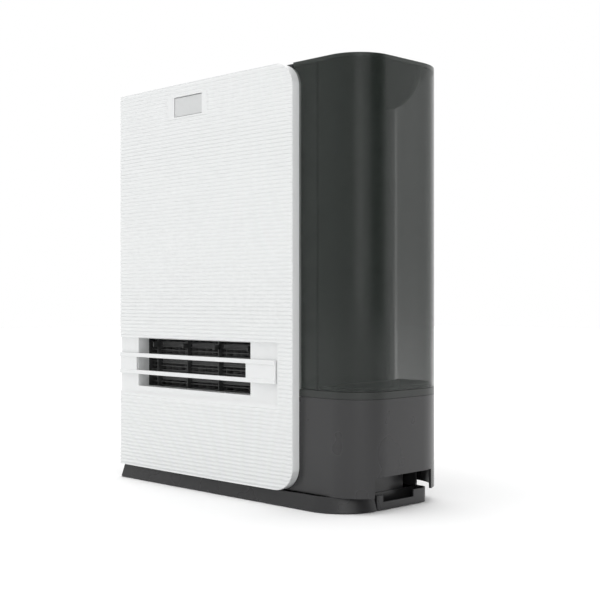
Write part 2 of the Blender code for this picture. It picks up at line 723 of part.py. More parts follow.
def build_front_panel():
    """White front shell with the outlet recess, the outlet sleeve and a window hole."""
    low, high = BODY_Z, HEIGHT - PANEL_TOP_DROP
    panel = keep("front_panel", prism(panel_plan(), low, high), WHITE)
    frame = [(X_LEFT, low, PANEL_INNER_RADIUS), (PANEL_RIGHT, low, PANEL_OUTER_RADIUS),
             (PANEL_RIGHT, high, PANEL_OUTER_RADIUS), (X_LEFT, high, PANEL_INNER_RADIUS)]
    common(panel, prism(rounded(frame), Y_FRONT - 0.01, PANEL_BACK + 0.01, "XZ"))
    hollow = rounded(inset(frame, WALL))
    floor = FACE_Y + RECESS_DEPTH
    cut(panel, prism(hollow, FACE_Y + PANEL_SKIN, PANEL_BACK + 0.01, "XZ"))
    add(panel, block((X_LEFT + 0.0005, floor - 0.0015, RECESS_LOW - 0.003),
                     (RECESS_RIGHT + 0.003, floor + 0.0022, RECESS_HIGH + 0.003)))
    cut(panel, block((X_LEFT - 0.01, Y_FRONT - 0.01, RECESS_LOW),
                     (RECESS_RIGHT, floor, RECESS_HIGH)))
    half = OUTLET_WIDTH / 2
    edge = OUTLET_SLEEVE
    add(panel, block((OUTLET_X - half - edge, floor + 0.0005, OUTLET_LOW - edge),
                     (OUTLET_X + half + edge, THROAT_BACK, OUTLET_HIGH + edge)))
    cut(panel, block((OUTLET_X - half, Y_FRONT - 0.01, OUTLET_LOW),
                     (OUTLET_X + half, THROAT_BACK + 0.01, OUTLET_HIGH)))
    half = WINDOW_WIDTH / 2
    cut(panel, block((FACE_X - half, Y_FRONT - 0.01, WINDOW_LOW),
                     (FACE_X + half, FACE_Y + PANEL_SKIN + 0.01, WINDOW_HIGH)))
    return panel


def build_window():
    """Clear lens in the panel, held by a flange behind it."""
    half = WINDOW_WIDTH / 2
    back = FACE_Y + PANEL_SKIN + GAP
    lens = keep("display_window", block(
        (FACE_X - half + GAP, back - 0.0034, WINDOW_LOW + GAP),
        (FACE_X + half - GAP, back + 0.0005, WINDOW_HIGH - GAP)), LENS)
    add(lens, block((FACE_X - half - 0.002, back, WINDOW_LOW - 0.002),
                    (FACE_X + half + 0.002, back + WINDOW_THICK, WINDOW_HIGH + 0.002)))


def build_louvre():
    """Two bars across the recess, joined by a block at their right end."""
    front = FACE_Y - 0.0006
    seat = FACE_Y + RECESS_DEPTH - GAP
    left = X_LEFT + 0.0008
    bars = []
    for z in (BAR_LOW_Z, BAR_HIGH_Z):
        bars.append(block((left, front, z - BAR_HEIGHT / 2), (BAR_RIGHT, seat, z + BAR_HEIGHT / 2)))
    louvre = keep("outlet_louvre", join(*bars), WHITE)
    inner = BAR_LOW_Z - BAR_HEIGHT / 2 + 0.001
    outer = BAR_HIGH_Z + BAR_HEIGHT / 2 - 0.001
    add(louvre, block((BAR_RIGHT - BAR_BLOCK, front + 0.0010, inner), (BAR_RIGHT, seat, outer)))
    add(louvre, block((left, front + 0.0010, inner), (left + BAR_LEFT_BLOCK, seat, outer)))
    half = OUTLET_WIDTH / 2 - GAP
    for z in (BAR_LOW_Z, BAR_HIGH_Z):
        add(louvre, block((OUTLET_X - half, seat - 0.001, z - 0.0012),
                          (OUTLET_X + half, PANEL_BACK - 0.001, z + 0.0012)))
    return louvre


def build_guard():
    """Black finger guard behind the louvre: a frame with upright vanes and wires."""
    front = THROAT_BACK + GAP
    back = front + GUARD_DEPTH
    guard = keep("outlet_guard", block((DUCT_LEFT, front, DUCT_LOW), (DUCT_RIGHT, back, DUCT_HIGH)),
                 BLACK)
    cut(guard, block((DUCT_LEFT + 0.003, front - 0.01, DUCT_LOW + 0.003),
                     (DUCT_RIGHT - 0.003, back + 0.01, DUCT_HIGH - 0.003)))
    vanes = []
    for share in (-1.5, -0.5, 0.5, 1.5):
        x = OUTLET_X + VANE_PITCH * share
        vanes.append(block((x - VANE_THICK / 2, front + 0.0005, DUCT_LOW + 0.002),
                           (x + VANE_THICK / 2, back - 0.001, DUCT_HIGH - 0.002)))
    add(guard, join(*vanes))
    span = DUCT_HIGH - DUCT_LOW
    wires = []
    count = int((span - 0.008) / WIRE_PITCH)
    for n in range(count + 1):
        z = DUCT_LOW + (span - WIRE_PITCH * count) / 2 + WIRE_PITCH * n
        wires.append(block((DUCT_LEFT + 0.002, back - 0.0030, z - WIRE_HEIGHT / 2),
                           (DUCT_RIGHT - 0.002, back - 0.0014, z + WIRE_HEIGHT / 2)))
    add(guard, join(*wires))
    return back


# ================================================================ heater and fan
def build_heater(front):
    """Frame with three finned ceramic elements, a thermostat and a thermal fuse."""
    front += GAP
    back = front + HEATER_DEPTH
    frame = keep("heater_frame", block((DUCT_LEFT, front, DUCT_LOW), (DUCT_RIGHT, back, DUCT_HIGH)),
                 BLACK)
    cut(frame, block((DUCT_LEFT + HEATER_SIDE, front - 0.01, DUCT_LOW + HEATER_EDGE),
                     (DUCT_RIGHT - HEATER_SIDE, back + 0.01, DUCT_HIGH - HEATER_EDGE)))
    left = DUCT_LEFT + HEATER_SIDE + GAP
    right = DUCT_RIGHT - HEATER_SIDE - GAP
    span = DUCT_HIGH - DUCT_LOW - 2 * HEATER_EDGE
    height = span / HEATER_BARS - GAP * 1.5
    low = front + CORE_INSET
    high = back - CORE_INSET
    pitch = (right - left - 0.001) / HEATER_FINS
    for n in range(HEATER_BARS):
        middle = DUCT_LOW + HEATER_EDGE + span * (n + 0.5) / HEATER_BARS
        element = keep(f"heating_element_{n + 1}", block(
            (left, low, middle - CORE_HALF), (right, high, middle + CORE_HALF)), DARK_ALUMINIUM)
        fins = []
        for k in range(HEATER_FINS + 1):
            x = left + 0.0005 + pitch * k
            fins.append(block((x, low + 0.0005, middle - height / 2),
                              (x + HEATER_FIN_THICK, high - 0.0005, middle + height / 2)))
        add(element, join(*fins))
    top = DUCT_HIGH + GAP
    middle = front + 0.012
    disc = rod((THERMOSTAT_X, middle, top), (THERMOSTAT_X, middle, top + THERMOSTAT_HEIGHT),
               THERMOSTAT_RADIUS, 24)
    smooth(keep("thermostat", disc, STEEL))
    top += FUSE_RADIUS + GAP
    fuse = rod((FUSE_LEFT, middle, top), (FUSE_RIGHT, middle, top), FUSE_RADIUS, 16)
    smooth(keep("thermal_fuse", fuse, STEEL))
    return back


def build_fan(duct_back):
    """Cross-flow fan: casing, blade drum, shaft, bush and motor."""
    front = duct_back + GAP
    left, right = DUCT_LEFT, DUCT_RIGHT
    sweep = FAN_RADIUS + FAN_CLEAR
    outer = sweep + CASING_WALL
    curve_in, curve_out = [], []
    for k in range(17):
        angle = math.radians(-90 + 150 * k / 16)
        grow = 0.010 * k / 16
        curve_in.append((FAN_Y + (sweep + grow) * math.cos(angle),
                         FAN_Z + (sweep + grow) * math.sin(angle)))
        curve_out.append((FAN_Y + (outer + grow) * math.cos(angle),
                          FAN_Z + (outer + grow) * math.sin(angle)))
    wall = [(front, DUCT_LOW), (front, DUCT_LOW + CASING_WALL)] + curve_in
    wall += list(reversed(curve_out))
    casing = keep("fan_casing", prism(wall, left + 0.001, right - 0.001, "YZ"), GREY)
    tongue_y = FAN_Y - FAN_RADIUS * 0.80 - FAN_CLEAR
    tongue = [(front, DUCT_HIGH), (front, DUCT_HIGH - CASING_WALL),
              (tongue_y - 0.006, DUCT_HIGH - CASING_WALL), (tongue_y - 0.006, DUCT_HIGH + 0.012),
              (tongue_y - 0.008, DUCT_HIGH + 0.012), (tongue_y - 0.008, DUCT_HIGH)]
    add(casing, prism(tongue, left + 0.001, right - 0.001, "YZ"))
    end = [(front, DUCT_LOW), (FAN_Y, FAN_Z - outer)]
    end += curve_out[1:] + [(front, FAN_Z + outer + 0.004)]
    for low, high in ((left, left + CASING_WALL), (right - CASING_WALL, right)):
        add(casing, prism(end, low, high, "YZ"))
    cut(casing, rod((left - 0.01, FAN_Y, FAN_Z), (right + 0.01, FAN_Y, FAN_Z),
                    BUSH_RADIUS + GAP, 24))
    smooth(casing, 30)

    drum_left = left + CASING_WALL + 0.003
    drum_right = right - CASING_WALL - 0.003
    drum_length = drum_right - drum_left
    plates = []
    for share in (0.0, 0.5, 1.0):
        x = drum_left + (drum_length - 0.0016) * share
        plates.append(rod((x, FAN_Y, FAN_Z), (x + 0.0016, FAN_Y, FAN_Z), FAN_RADIUS, 32))
    drum = keep("fan_drum", join(*plates), BLACK)
    blades = []
    for n in range(FAN_BLADES):
        turn = Matrix.Rotation(math.tau * n / FAN_BLADES, 2)
        inner = FAN_RADIUS - 0.0110
        rows = []
        for offset in (0.0, 0.0010):
            row = []
            for k in range(3):
                share = k / 2
                radius = inner + (FAN_RADIUS - 0.0006 - inner) * share
                bend = 0.0035 * math.sin(math.pi * share) + offset
                row.append(turn @ Vector((radius, bend)))
            rows.append(row)
        outline = rows[0] + list(reversed(rows[1]))
        blades.append(prism([(FAN_Y + p.x, FAN_Z + p.y) for p in outline],
                            drum_left + 0.0005, drum_right - 0.0005, "YZ"))
    add(drum, join(*blades))
    cut(drum, rod((drum_left - 0.01, FAN_Y, FAN_Z), (drum_right + 0.01, FAN_Y, FAN_Z),
                  SHAFT_RADIUS + GAP, 16))
    smooth(drum, 30)
    motor_left = right + GAP
    shaft = keep("fan_shaft", rod((left - 0.004, FAN_Y, FAN_Z), (motor_left + 0.010, FAN_Y, FAN_Z),
                                  SHAFT_RADIUS, 16), STEEL)
    smooth(shaft)
    bush = keep("shaft_bush", rod((left - 0.003, FAN_Y, FAN_Z), (left + 0.0045, FAN_Y, FAN_Z),
                                  BUSH_RADIUS, 24), CREAM)
    cut(bush, rod((left - 0.02, FAN_Y, FAN_Z), (left + 0.02, FAN_Y, FAN_Z),
                  SHAFT_RADIUS + GAP, 16))
    smooth(bush)
    motor = keep("fan_motor", rod((motor_left, FAN_Y, FAN_Z),
                                  (motor_left + MOTOR_LENGTH, FAN_Y, FAN_Z), MOTOR_RADIUS, 36), STEEL)
    cut(motor, rod((motor_left - 0.01, FAN_Y, FAN_Z), (motor_left + 0.012, FAN_Y, FAN_Z),
                   SHAFT_RADIUS + GAP, 16))
    smooth(motor)
    hang(hinge_empty("fan_axis", (0, FAN_Y, FAN_Z)), drum, shaft)


# ================================================================ tank
def grip_bowl(grow, top):
    """Quarter of an ellipsoid cut off at a height, for the finger cup in the roof."""
    shape = bmesh.new()
    bmesh.ops.create_uvsphere(shape, u_segments=24, v_segments=12, radius=1.0)
    bmesh.ops.scale(shape, verts=shape.verts,
                    vec=(GRIP_LENGTH + grow, GRIP_WIDTH + grow, GRIP_DEPTH + grow))
    bmesh.ops.translate(shape, verts=shape.verts, vec=(GRIP_X, GRIP_Y, HEIGHT))
    bowl = tool_object(shape)
    common(bowl, block(
        (GRIP_X - grow, GRIP_Y - grow, HEIGHT - GRIP_DEPTH - 0.01),
        (1, 1, top)))
    result = bmesh.new()
    result.from_mesh(bowl.data)
    waste = bowl.data
    bpy.data.objects.remove(bowl, do_unlink=True)
    bpy.data.meshes.remove(waste)
    return result


def build_tank():
    """Smoke shell on a dark foot, with a finger cup in the roof."""
    low = SEAM_Z + GAP + TANK_FOOT + GAP
    corners = tank_corners()
    shell = keep("tank_shell", prism(rounded(flanged_corners()), low, HEIGHT), SMOKE)
    cut(shell, prism(rounded(inset(corners, TANK_WALL)), low - 0.01, HEIGHT - TANK_ROOF))
    cut(shell, grip_bowl(GRIP_WALL + GAP, HEIGHT + 0.001))
    for n in range(3):
        z = NUB_TOP_Z - NUB_PITCH * n
        add(shell, rod((TANK_LEFT + 0.001, NUB_Y, z), (TANK_LEFT + NUB_REACH, NUB_Y, z),
                       NUB_RADIUS, 12))
    smooth(shell, 35)
    cup = keep("tank_grip", grip_bowl(GRIP_WALL, HEIGHT - 0.0002), DARK)
    cut(cup, grip_bowl(0, HEIGHT + 0.001))
    smooth(cup, 35)

    foot_low = SEAM_Z + GAP
    foot = keep("tank_foot", prism(rounded(flanged_corners()), foot_low, foot_low + TANK_FOOT),
                DARK)
    plug = inset(corners, WALL + GAP * 4)
    add(foot, prism(rounded(plug), SEAM_Z - SEAT_DEPTH + GAP, foot_low + 0.001))
    spigot = inset(corners, TANK_WALL + GAP)
    add(foot, prism(rounded(spigot), foot_low + TANK_FOOT - 0.001, foot_low + TANK_FOOT + 0.004))
    neck_low = CAP_FLOOR_Z + 0.0047
    add(foot, rod((NECK_X, NECK_Y, neck_low), (NECK_X, NECK_Y, foot_low + 0.001), NECK_RADIUS, 28))
    cut(foot, prism(rounded(inset(spigot, WALL)), foot_low + 0.0030, foot_low + TANK_FOOT + 0.01))
    cut(foot, rod((NECK_X, NECK_Y, neck_low - 0.01), (NECK_X, NECK_Y, foot_low + 0.01),
                  NECK_BORE, 28))
    smooth(foot, 35)

    centre = (NECK_X, NECK_Y)
    floor = CAP_FLOOR_Z + 0.0020
    cap = keep("tank_cap", turned([
        (VALVE_HOLE, CAP_FLOOR_Z), (CAP_RADIUS, CAP_FLOOR_Z), (CAP_RADIUS, CAP_TOP_Z),
        (NECK_RADIUS + CAP_FIT, CAP_TOP_Z), (NECK_RADIUS + CAP_FIT, floor),
        (CAGE_RADIUS, floor), (CAGE_RADIUS, CAP_TOP_Z), (CAGE_RADIUS - 0.0014, CAP_TOP_Z),
        (CAGE_RADIUS - 0.0014, floor), (VALVE_HOLE, floor)], centre, 32), WHITE)
    ribs = [block_turned(CAP_RADIUS - 0.0003, CAP_RADIUS + CAP_RIB, 0.0008, CAP_FLOOR_Z + 0.002,
                         CAP_TOP_Z - 0.001, n * math.tau / 8) for n in range(8)]
    add(cap, join(*ribs))
    windows = [block_turned(CAGE_RADIUS - 0.003, CAGE_RADIUS + 0.002, 0.0035, floor + 0.002,
                            CAP_TOP_Z - 0.004, (n + 0.5) * math.tau / 4) for n in range(4)]
    cut(cap, join(*windows))
    add(cap, block((NECK_X - CAGE_RADIUS + 0.0005, NECK_Y - 0.002, CAP_TOP_Z - 0.0018),
                   (NECK_X + CAGE_RADIUS - 0.0005, NECK_Y + 0.002, CAP_TOP_Z - 0.0002)))
    smooth(cap, 35)
    seal = keep("cap_seal", turned([
        (NECK_BORE - 0.001, floor + GAP), (NECK_RADIUS, floor + GAP),
        (NECK_RADIUS, neck_low - GAP), (NECK_BORE - 0.001, neck_low - GAP)], centre, 28), RUBBER)
    smooth(seal, 35)
    hang(hinge_empty("tank_cap_axis", (NECK_X, NECK_Y, CAP_FLOOR_Z)), cap, seal)

    base = floor + GAP
    plunger = keep("valve_plunger", turned([
        (0, VALVE_TIP_Z), (0.0040, VALVE_TIP_Z), (0.0040, base), (0.0085, base),
        (0.0085, base + 0.0025), (0.0025, base + 0.0025), (0.0025, base + 0.0095),
        (0, base + 0.0095)], centre, 24), WHITE)
    smooth(plunger, 35)
    spring = keep("valve_spring", helix(
        centre, 0.0048, 0.00045, base + 0.0035, base + 0.0090, 4), STEEL)
    smooth(spring, 60)
    hang(hinge_empty("valve_axis", (NECK_X, NECK_Y, base)), plunger, spring)


def block_turned(near, far, half, low, high, angle):
    """A block standing radially at an angle round the neck's axis."""
    shape = block((near, -half, low), (far, half, high))
    bmesh.ops.rotate(shape, verts=shape.verts, cent=(0, 0, 0),
                     matrix=Matrix.Rotation(angle, 3, "Z"))
    bmesh.ops.translate(shape, verts=shape.verts, vec=(NECK_X, NECK_Y, 0))
    return shape


def helix(centre, radius, wire, low, high, turns, sides=5, per_turn=10):
    """A coil spring as one closed tube."""
    shape = bmesh.new()
    rings = []
    count = turns * per_turn
    for k in range(count + 1):
        angle = math.tau * k / per_turn
        place = Vector((centre[0] + radius * math.cos(angle), centre[1] + radius * math.sin(angle),
                        low + (high - low) * k / count))
        out = Vector((math.cos(angle), math.sin(angle), 0))
        rings.append([shape.verts.new(
            place + (out * math.cos(math.tau * s / sides)
                     + Vector((0, 0, 1)) * math.sin(math.tau * s / sides)) * wire)
            for s in range(sides)])
    for ring, after in zip(rings, rings[1:]):
        for s in range(sides):
            shape.faces.new((ring[s - 1], ring[s], after[s], after[s - 1]))
    shape.faces.new(rings[0])
    shape.faces.new(rings[-1])
    return shape


def build_well():
    """Cup under the seat: a post that opens the valve, and a spout to the tray."""
    top = SEAM_Z - SEAT_DEPTH - WALL - GAP
    centre = (NECK_X, NECK_Y)
    outer = WELL_RADIUS + WELL_WALL
    floor = WELL_FLOOR_Z + WELL_WALL
    well = keep("valve_well", turned([
        (0, WELL_FLOOR_Z), (outer, WELL_FLOOR_Z), (outer, top - 0.0025), (outer + WELL_FLANGE, top - 0.0025),
        (outer + WELL_FLANGE, top), (WELL_RADIUS, top), (WELL_RADIUS, floor), (0.0030, floor),
        (0.0030, VALVE_TIP_Z - GAP), (0, VALVE_TIP_Z - GAP)], centre, 28), GREY)
    spout_x = NECK_X - 0.013
    add(well, rod((spout_x, NECK_Y, TRAY_TOP + 0.006), (spout_x, NECK_Y, floor - 0.001), 0.0065, 20))
    cut(well, rod((spout_x, NECK_Y, TRAY_TOP), (spout_x, NECK_Y, floor + 0.001), 0.0045, 20))
    smooth(well, 35)


# ================================================================ tray and wick
def build_tray():
    """Water tray with a hollow pull lip at its outer end, and the wick in it."""
    low = PLINTH_CLEAR + PLINTH_PLATE + GAP
    tub = [(TRAY_LEFT, TRAY_FRONT, 0.006), (TRAY_TUB_RIGHT, TRAY_FRONT, 0.003),
           (TRAY_TUB_RIGHT, TRAY_REAR, 0.003), (TRAY_LEFT, TRAY_REAR, 0.006)]
    tray = keep("water_tray", prism(rounded(tub, 4), low, TRAY_TOP), GREY)
    lip = [(TRAY_TUB_RIGHT - 0.001, TRAY_FRONT + 0.0005, 0), (PLINTH_RIGHT, TRAY_FRONT + 0.0005, 0.002),
           (PLINTH_RIGHT, TRAY_LIP_REAR, TRAY_LIP_RADIUS), (TRAY_TUB_RIGHT - 0.001, TRAY_LIP_REAR, 0)]
    add(tray, prism(rounded(lip, 6), PLINTH_CLEAR, TRAY_LIP_TOP))
    cut(tray, prism(rounded(inset(tub, TRAY_WALL), 4), low + TRAY_WALL, TRAY_TOP + 0.01))
    pocket = [(TRAY_TUB_RIGHT + 0.0010, TRAY_FRONT + 0.0025, 0.001),
              (PLINTH_RIGHT - 0.002, TRAY_FRONT + 0.0025, 0.001),
              (PLINTH_RIGHT - 0.002, TRAY_LIP_REAR - 0.002, TRAY_LIP_RADIUS - 0.002),
              (TRAY_TUB_RIGHT + 0.0010, TRAY_LIP_REAR - 0.002, 0.001)]
    cut(tray, prism(rounded(pocket, 6), PLINTH_CLEAR + TRAY_WALL, TRAY_LIP_TOP + 0.01))
    cut(tray, block((PLINTH_RIGHT - 0.006, TRAY_FRONT + 0.008, TRAY_LIP_LOW),
                    (PLINTH_RIGHT + 0.01, TRAY_REAR - 0.003, TRAY_LIP_TOP + 0.01)))
    smooth(tray, 35)

    floor = low + TRAY_WALL + GAP
    left = TRAY_LEFT + TRAY_WALL + 0.003
    front = TRAY_FRONT + TRAY_WALL + 0.006
    back = TRAY_REAR - TRAY_WALL - 0.006
    frame = keep("wick_frame", block((left, front, floor), (left + WICK_LENGTH, back, floor + 0.0225)),
                 GREY)
    cut(frame, block((left + 0.002, front - 0.01, floor + 0.002),
                     (left + WICK_LENGTH - 0.002, back + 0.01, floor + 0.0205)))
    pitch = (WICK_LENGTH - 0.0046) / WICK_PLEATS
    start = left + 0.0023
    near, far = front + 0.002, back - 0.002
    one_side, other = [], []
    for k in range(WICK_PLEATS + 1):
        x = start + pitch * k
        y = near if k % 2 else far - 0.0016
        one_side.append((x, y))
        other.append((x, y + 0.0016))
    keep("wick_filter", prism(one_side + list(reversed(other)), floor + 0.0023,
                              floor + 0.0023 + WICK_HEIGHT - 0.0024), WICK)


# ================================================================ small parts
def build_small_parts():
    """Cord gland, terminal block, tip switch and room sensor."""
    gland = keep("cord_gland", rod((GLAND_X, BODY_REAR - 0.009, GLAND_Z),
                                   (GLAND_X, BODY_REAR + 0.003, GLAND_Z), GLAND_RADIUS, 24), BLACK)
    add(gland, rod((GLAND_X, BODY_REAR + GAP, GLAND_Z), (GLAND_X, BODY_REAR + 0.0022, GLAND_Z),
                   GLAND_RADIUS + GLAND_RIM, 24))
    cut(gland, rod((GLAND_X, BODY_REAR - 0.02, GLAND_Z), (GLAND_X, BODY_REAR + 0.02, GLAND_Z),
                   GLAND_BORE, 20))
    smooth(gland, 35)
    floor = PLINTH_CLEAR + PLINTH_PLATE + GAP
    terminal = keep("terminal_block", block(
        (TERMINAL_LEFT, TERMINAL_FRONT, floor),
        (TERMINAL_RIGHT, TERMINAL_REAR, floor + TERMINAL_HEIGHT)), CREAM)
    holes = []
    for n in range(TERMINAL_WAYS):
        x = TERMINAL_LEFT + 0.0045 + TERMINAL_PITCH * n
        holes.append(rod((x, TERMINAL_FRONT - 0.01, floor + 0.009),
                         (x, TERMINAL_REAR + 0.01, floor + 0.009), 0.002, 10))
    cut(terminal, join(*holes))
    keep("tip_over_switch", block((SWITCH_LEFT, SWITCH_FRONT, floor),
                                  (SWITCH_RIGHT, SWITCH_REAR, floor + SWITCH_HEIGHT)), BLACK)
    inner = BODY_REAR - WALL - GAP
    keep("room_sensor", block((SENSOR_LEFT, inner - BOARD_THICK, SENSOR_LOW),
                              (SENSOR_RIGHT, inner, SENSOR_HIGH)), BOARD)


def build_air_filter():
    """Framed mesh over the intake; it pulls straight off the back."""
    near = BODY_REAR + GAP
    half = INTAKE_WIDTH / 2 + 0.006
    frame = keep("filter_frame", block((FACE_X - half, near, INTAKE_LOW - 0.006),
                                       (FACE_X + half, Y_REAR, INTAKE_HIGH + 0.006)), GREY)
    cells_x, cells_z = 4, 4
    step_x = (2 * half - 0.004) / cells_x
    step_z = (INTAKE_HIGH - INTAKE_LOW + 0.012 - 0.004) / cells_z
    cells = []
    for i in range(cells_x):
        for k in range(cells_z):
            x = FACE_X - half + 0.002 + step_x * (i + 0.5)
            z = INTAKE_LOW - 0.006 + 0.002 + step_z * (k + 0.5)
            cells.append(block((x - step_x / 2 + 0.002, near - 0.01, z - step_z / 2 + 0.002),
                               (x + step_x / 2 - 0.002, Y_REAR + 0.01, z + step_z / 2 - 0.002)))
    cut(frame, join(*cells))
    groove = block((FACE_X - half + 0.0025, near + 0.0009, INTAKE_LOW - 0.0035),
                   (FACE_X + half - 0.0025, near + 0.0023, INTAKE_HIGH + 0.0035))
    cut(frame, groove)
    keep("filter_mesh", block((FACE_X - half + 0.0030, near + 0.0012, INTAKE_LOW - 0.0030),
                              (FACE_X + half - 0.0030, near + 0.0020, INTAKE_HIGH + 0.0030)), BLACK)


def build():
    clear_scene()
    build_plinth()
    build_feet()
    build_main_housing()
    build_rear_cover()
    build_top_cover()
    build_buttons()
    build_boards()
    build_front_panel()
    build_window()
    build_louvre()
    guard_back = build_guard()
    heater_back = build_heater(guard_back)
    build_fan(heater_back)
    build_tank()
    build_well()
    build_tray()
    build_small_parts()
    build_air_filter()


build()
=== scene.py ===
import math

import bmesh
import bpy
from mathutils import Matrix, Vector


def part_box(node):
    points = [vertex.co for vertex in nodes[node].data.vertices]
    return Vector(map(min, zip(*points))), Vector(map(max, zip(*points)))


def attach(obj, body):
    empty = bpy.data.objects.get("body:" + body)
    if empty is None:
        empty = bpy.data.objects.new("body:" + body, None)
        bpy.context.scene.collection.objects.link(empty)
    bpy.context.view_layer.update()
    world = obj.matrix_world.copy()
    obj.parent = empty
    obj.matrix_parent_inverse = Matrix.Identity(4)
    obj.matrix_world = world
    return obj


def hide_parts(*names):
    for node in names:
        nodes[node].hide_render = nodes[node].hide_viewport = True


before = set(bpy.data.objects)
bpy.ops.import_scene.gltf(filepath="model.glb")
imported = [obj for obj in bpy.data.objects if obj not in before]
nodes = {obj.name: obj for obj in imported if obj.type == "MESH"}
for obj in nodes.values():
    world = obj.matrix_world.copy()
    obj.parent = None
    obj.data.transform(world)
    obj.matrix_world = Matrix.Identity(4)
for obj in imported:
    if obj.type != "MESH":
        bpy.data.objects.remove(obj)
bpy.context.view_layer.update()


# Camera, floor and light. The camera stands level, off the corner between the front
# panel and the tank, so that both show. The floor and the surrounds are plain and pale,
# with broad soft lights as in a product studio.
VIEW_FROM = (0.8635, -0.8296, 0.200)
VIEW_LENS = 67.18
VIEW_TILT, VIEW_TURN = 90, 45
SENSOR_WIDTH = 36
FLOOR_HALF = 6
FLOOR_COLOUR = (0.97, 0.97, 0.97, 1)
FLOOR_ROUGHNESS = 0.9
SKY_FLATTEN = (1, 1, 0.4)
# Upright panels of the sky: direction in degrees, spread to each side, brightness added.
SKY_PANELS = ((-110, 85, -0.38), (12, 34, -0.95), (-45, 18, 0.60))
OVERHEAD_START, OVERHEAD_LIFT = 0.35, 0.60
LAMP_PLACE, LAMP_AIM = (-0.4, -0.7, 2.2), (0, 0, 0.2)
LAMP_SIDE, LAMP_POWER = 1.0, 6

camera = bpy.data.objects.new("camera", bpy.data.cameras.new("camera"))
camera.location = VIEW_FROM
camera.rotation_euler = (math.radians(VIEW_TILT), 0, math.radians(VIEW_TURN))
camera.data.lens = VIEW_LENS
camera.data.sensor_width = SENSOR_WIDTH
bpy.context.scene.collection.objects.link(camera)
bpy.context.scene.camera = camera


def into_scene(name, shape):
    """A finished bmesh as an object at the origin."""
    mesh = bpy.data.meshes.new(name)
    shape.to_mesh(mesh)
    shape.free()
    piece = bpy.data.objects.new(name, mesh)
    bpy.context.scene.collection.objects.link(piece)
    return piece


floor_shape = bmesh.new()
bmesh.ops.create_grid(floor_shape, x_segments=1, y_segments=1, size=FLOOR_HALF)
floor = into_scene("studio_floor", floor_shape)
floor_paint = bpy.data.materials.new("pale_floor")
floor_paint.use_nodes = True
floor_shader = floor_paint.node_tree.nodes["Principled BSDF"]
floor_shader.inputs["Base Color"].default_value = FLOOR_COLOUR
floor_shader.inputs["Roughness"].default_value = FLOOR_ROUGHNESS
floor.data.materials.append(floor_paint)

world = bpy.data.worlds.new("studio")
world.use_nodes = True
sky = world.node_tree
toward = sky.nodes.new("ShaderNodeTexCoord")
stretch = sky.nodes.new("ShaderNodeVectorMath")
stretch.operation = "MULTIPLY"
stretch.inputs[1].default_value = SKY_FLATTEN
level = sky.nodes.new("ShaderNodeVectorMath")
level.operation = "NORMALIZE"
sky.links.new(toward.outputs["Generated"], stretch.inputs[0])
sky.links.new(stretch.outputs[0], level.inputs[0])


def sky_patch(before, azimuth, spread, amount):
    """A soft upright panel of the studio, brighter or darker than the rest of it."""
    nearness = sky.nodes.new("ShaderNodeVectorMath")
    nearness.operation = "DOT_PRODUCT"
    turn = math.radians(azimuth)
    nearness.inputs[1].default_value = (math.cos(turn), math.sin(turn), 0)
    sky.links.new(level.outputs[0], nearness.inputs[0])
    patch = sky.nodes.new("ShaderNodeMapRange")
    patch.interpolation_type = "SMOOTHSTEP"
    patch.inputs["From Min"].default_value = math.cos(math.radians(spread))
    patch.inputs["From Max"].default_value = 1.0
    patch.inputs["To Max"].default_value = amount
    sky.links.new(nearness.outputs["Value"], patch.inputs["Value"])
    total = sky.nodes.new("ShaderNodeMath")
    sky.links.new(patch.outputs["Result"], total.inputs[0])
    if before:
        sky.links.new(before, total.inputs[1])
    else:
        total.inputs[1].default_value = 1.0
    return total.outputs[0]


brightness = None
for azimuth, spread, amount in SKY_PANELS:
    brightness = sky_patch(brightness, azimuth, spread, amount)
overhead = sky.nodes.new("ShaderNodeSeparateXYZ")
sky.links.new(toward.outputs["Generated"], overhead.inputs[0])
lift = sky.nodes.new("ShaderNodeMapRange")
lift.inputs["From Min"].default_value = OVERHEAD_START
lift.inputs["To Max"].default_value = OVERHEAD_LIFT
sky.links.new(overhead.outputs["Z"], lift.inputs["Value"])
whole = sky.nodes.new("ShaderNodeMath")
sky.links.new(brightness, whole.inputs[0])
sky.links.new(lift.outputs["Result"], whole.inputs[1])
sky.links.new(whole.outputs[0], sky.nodes["Background"].inputs["Strength"])
sky.nodes["Background"].inputs["Color"].default_value = (1, 1, 1, 1)
bpy.context.scene.world = world
bpy.context.scene.view_settings.view_transform = "Standard"

lamp = bpy.data.lights.new("overhead_light", "AREA")
lamp.shape = "RECTANGLE"
lamp.size = lamp.size_y = LAMP_SIDE
lamp.energy = LAMP_POWER
hung_lamp = bpy.data.objects.new("overhead_light", lamp)
hung_lamp.location = LAMP_PLACE
lamp_line = Vector(LAMP_AIM) - Vector(LAMP_PLACE)
hung_lamp.rotation_euler = lamp_line.to_track_quat("-Z", "Y").to_euler()
bpy.context.scene.collection.objects.link(hung_lamp)


# Grey base plate. Injection-moulded ABS with a fine spark-eroded grain; the skirt flares
# out to the floor. Four zinc-plated screws hold it up to the body and it stands on four
# pads of black rubber.
GRAIN_DETAIL = 3
BROAD_SCALE, BROAD_DETAIL = 22, 2
NOISE_MIDDLE = 0.5
RELIEF_STRENGTH = 0.35
PAD_EDGE, CRISP_EDGE, FINE_EDGE, SOFT_EDGE = 0.0001, 0.0002, 0.0003, 0.0004
BROAD_EDGE, SKIRT_EDGE, CAN_EDGE = 0.0005, 0.0006, 0.0008
SHARP_TURN, ROUND_TURN, COIL_TURN = 38, 30, 60
SAME_PLACE = 0.000004
FLAT_TURN = 1.0
EDGE_STEPS = 2
FOUR = (1, 2, 3, 4)


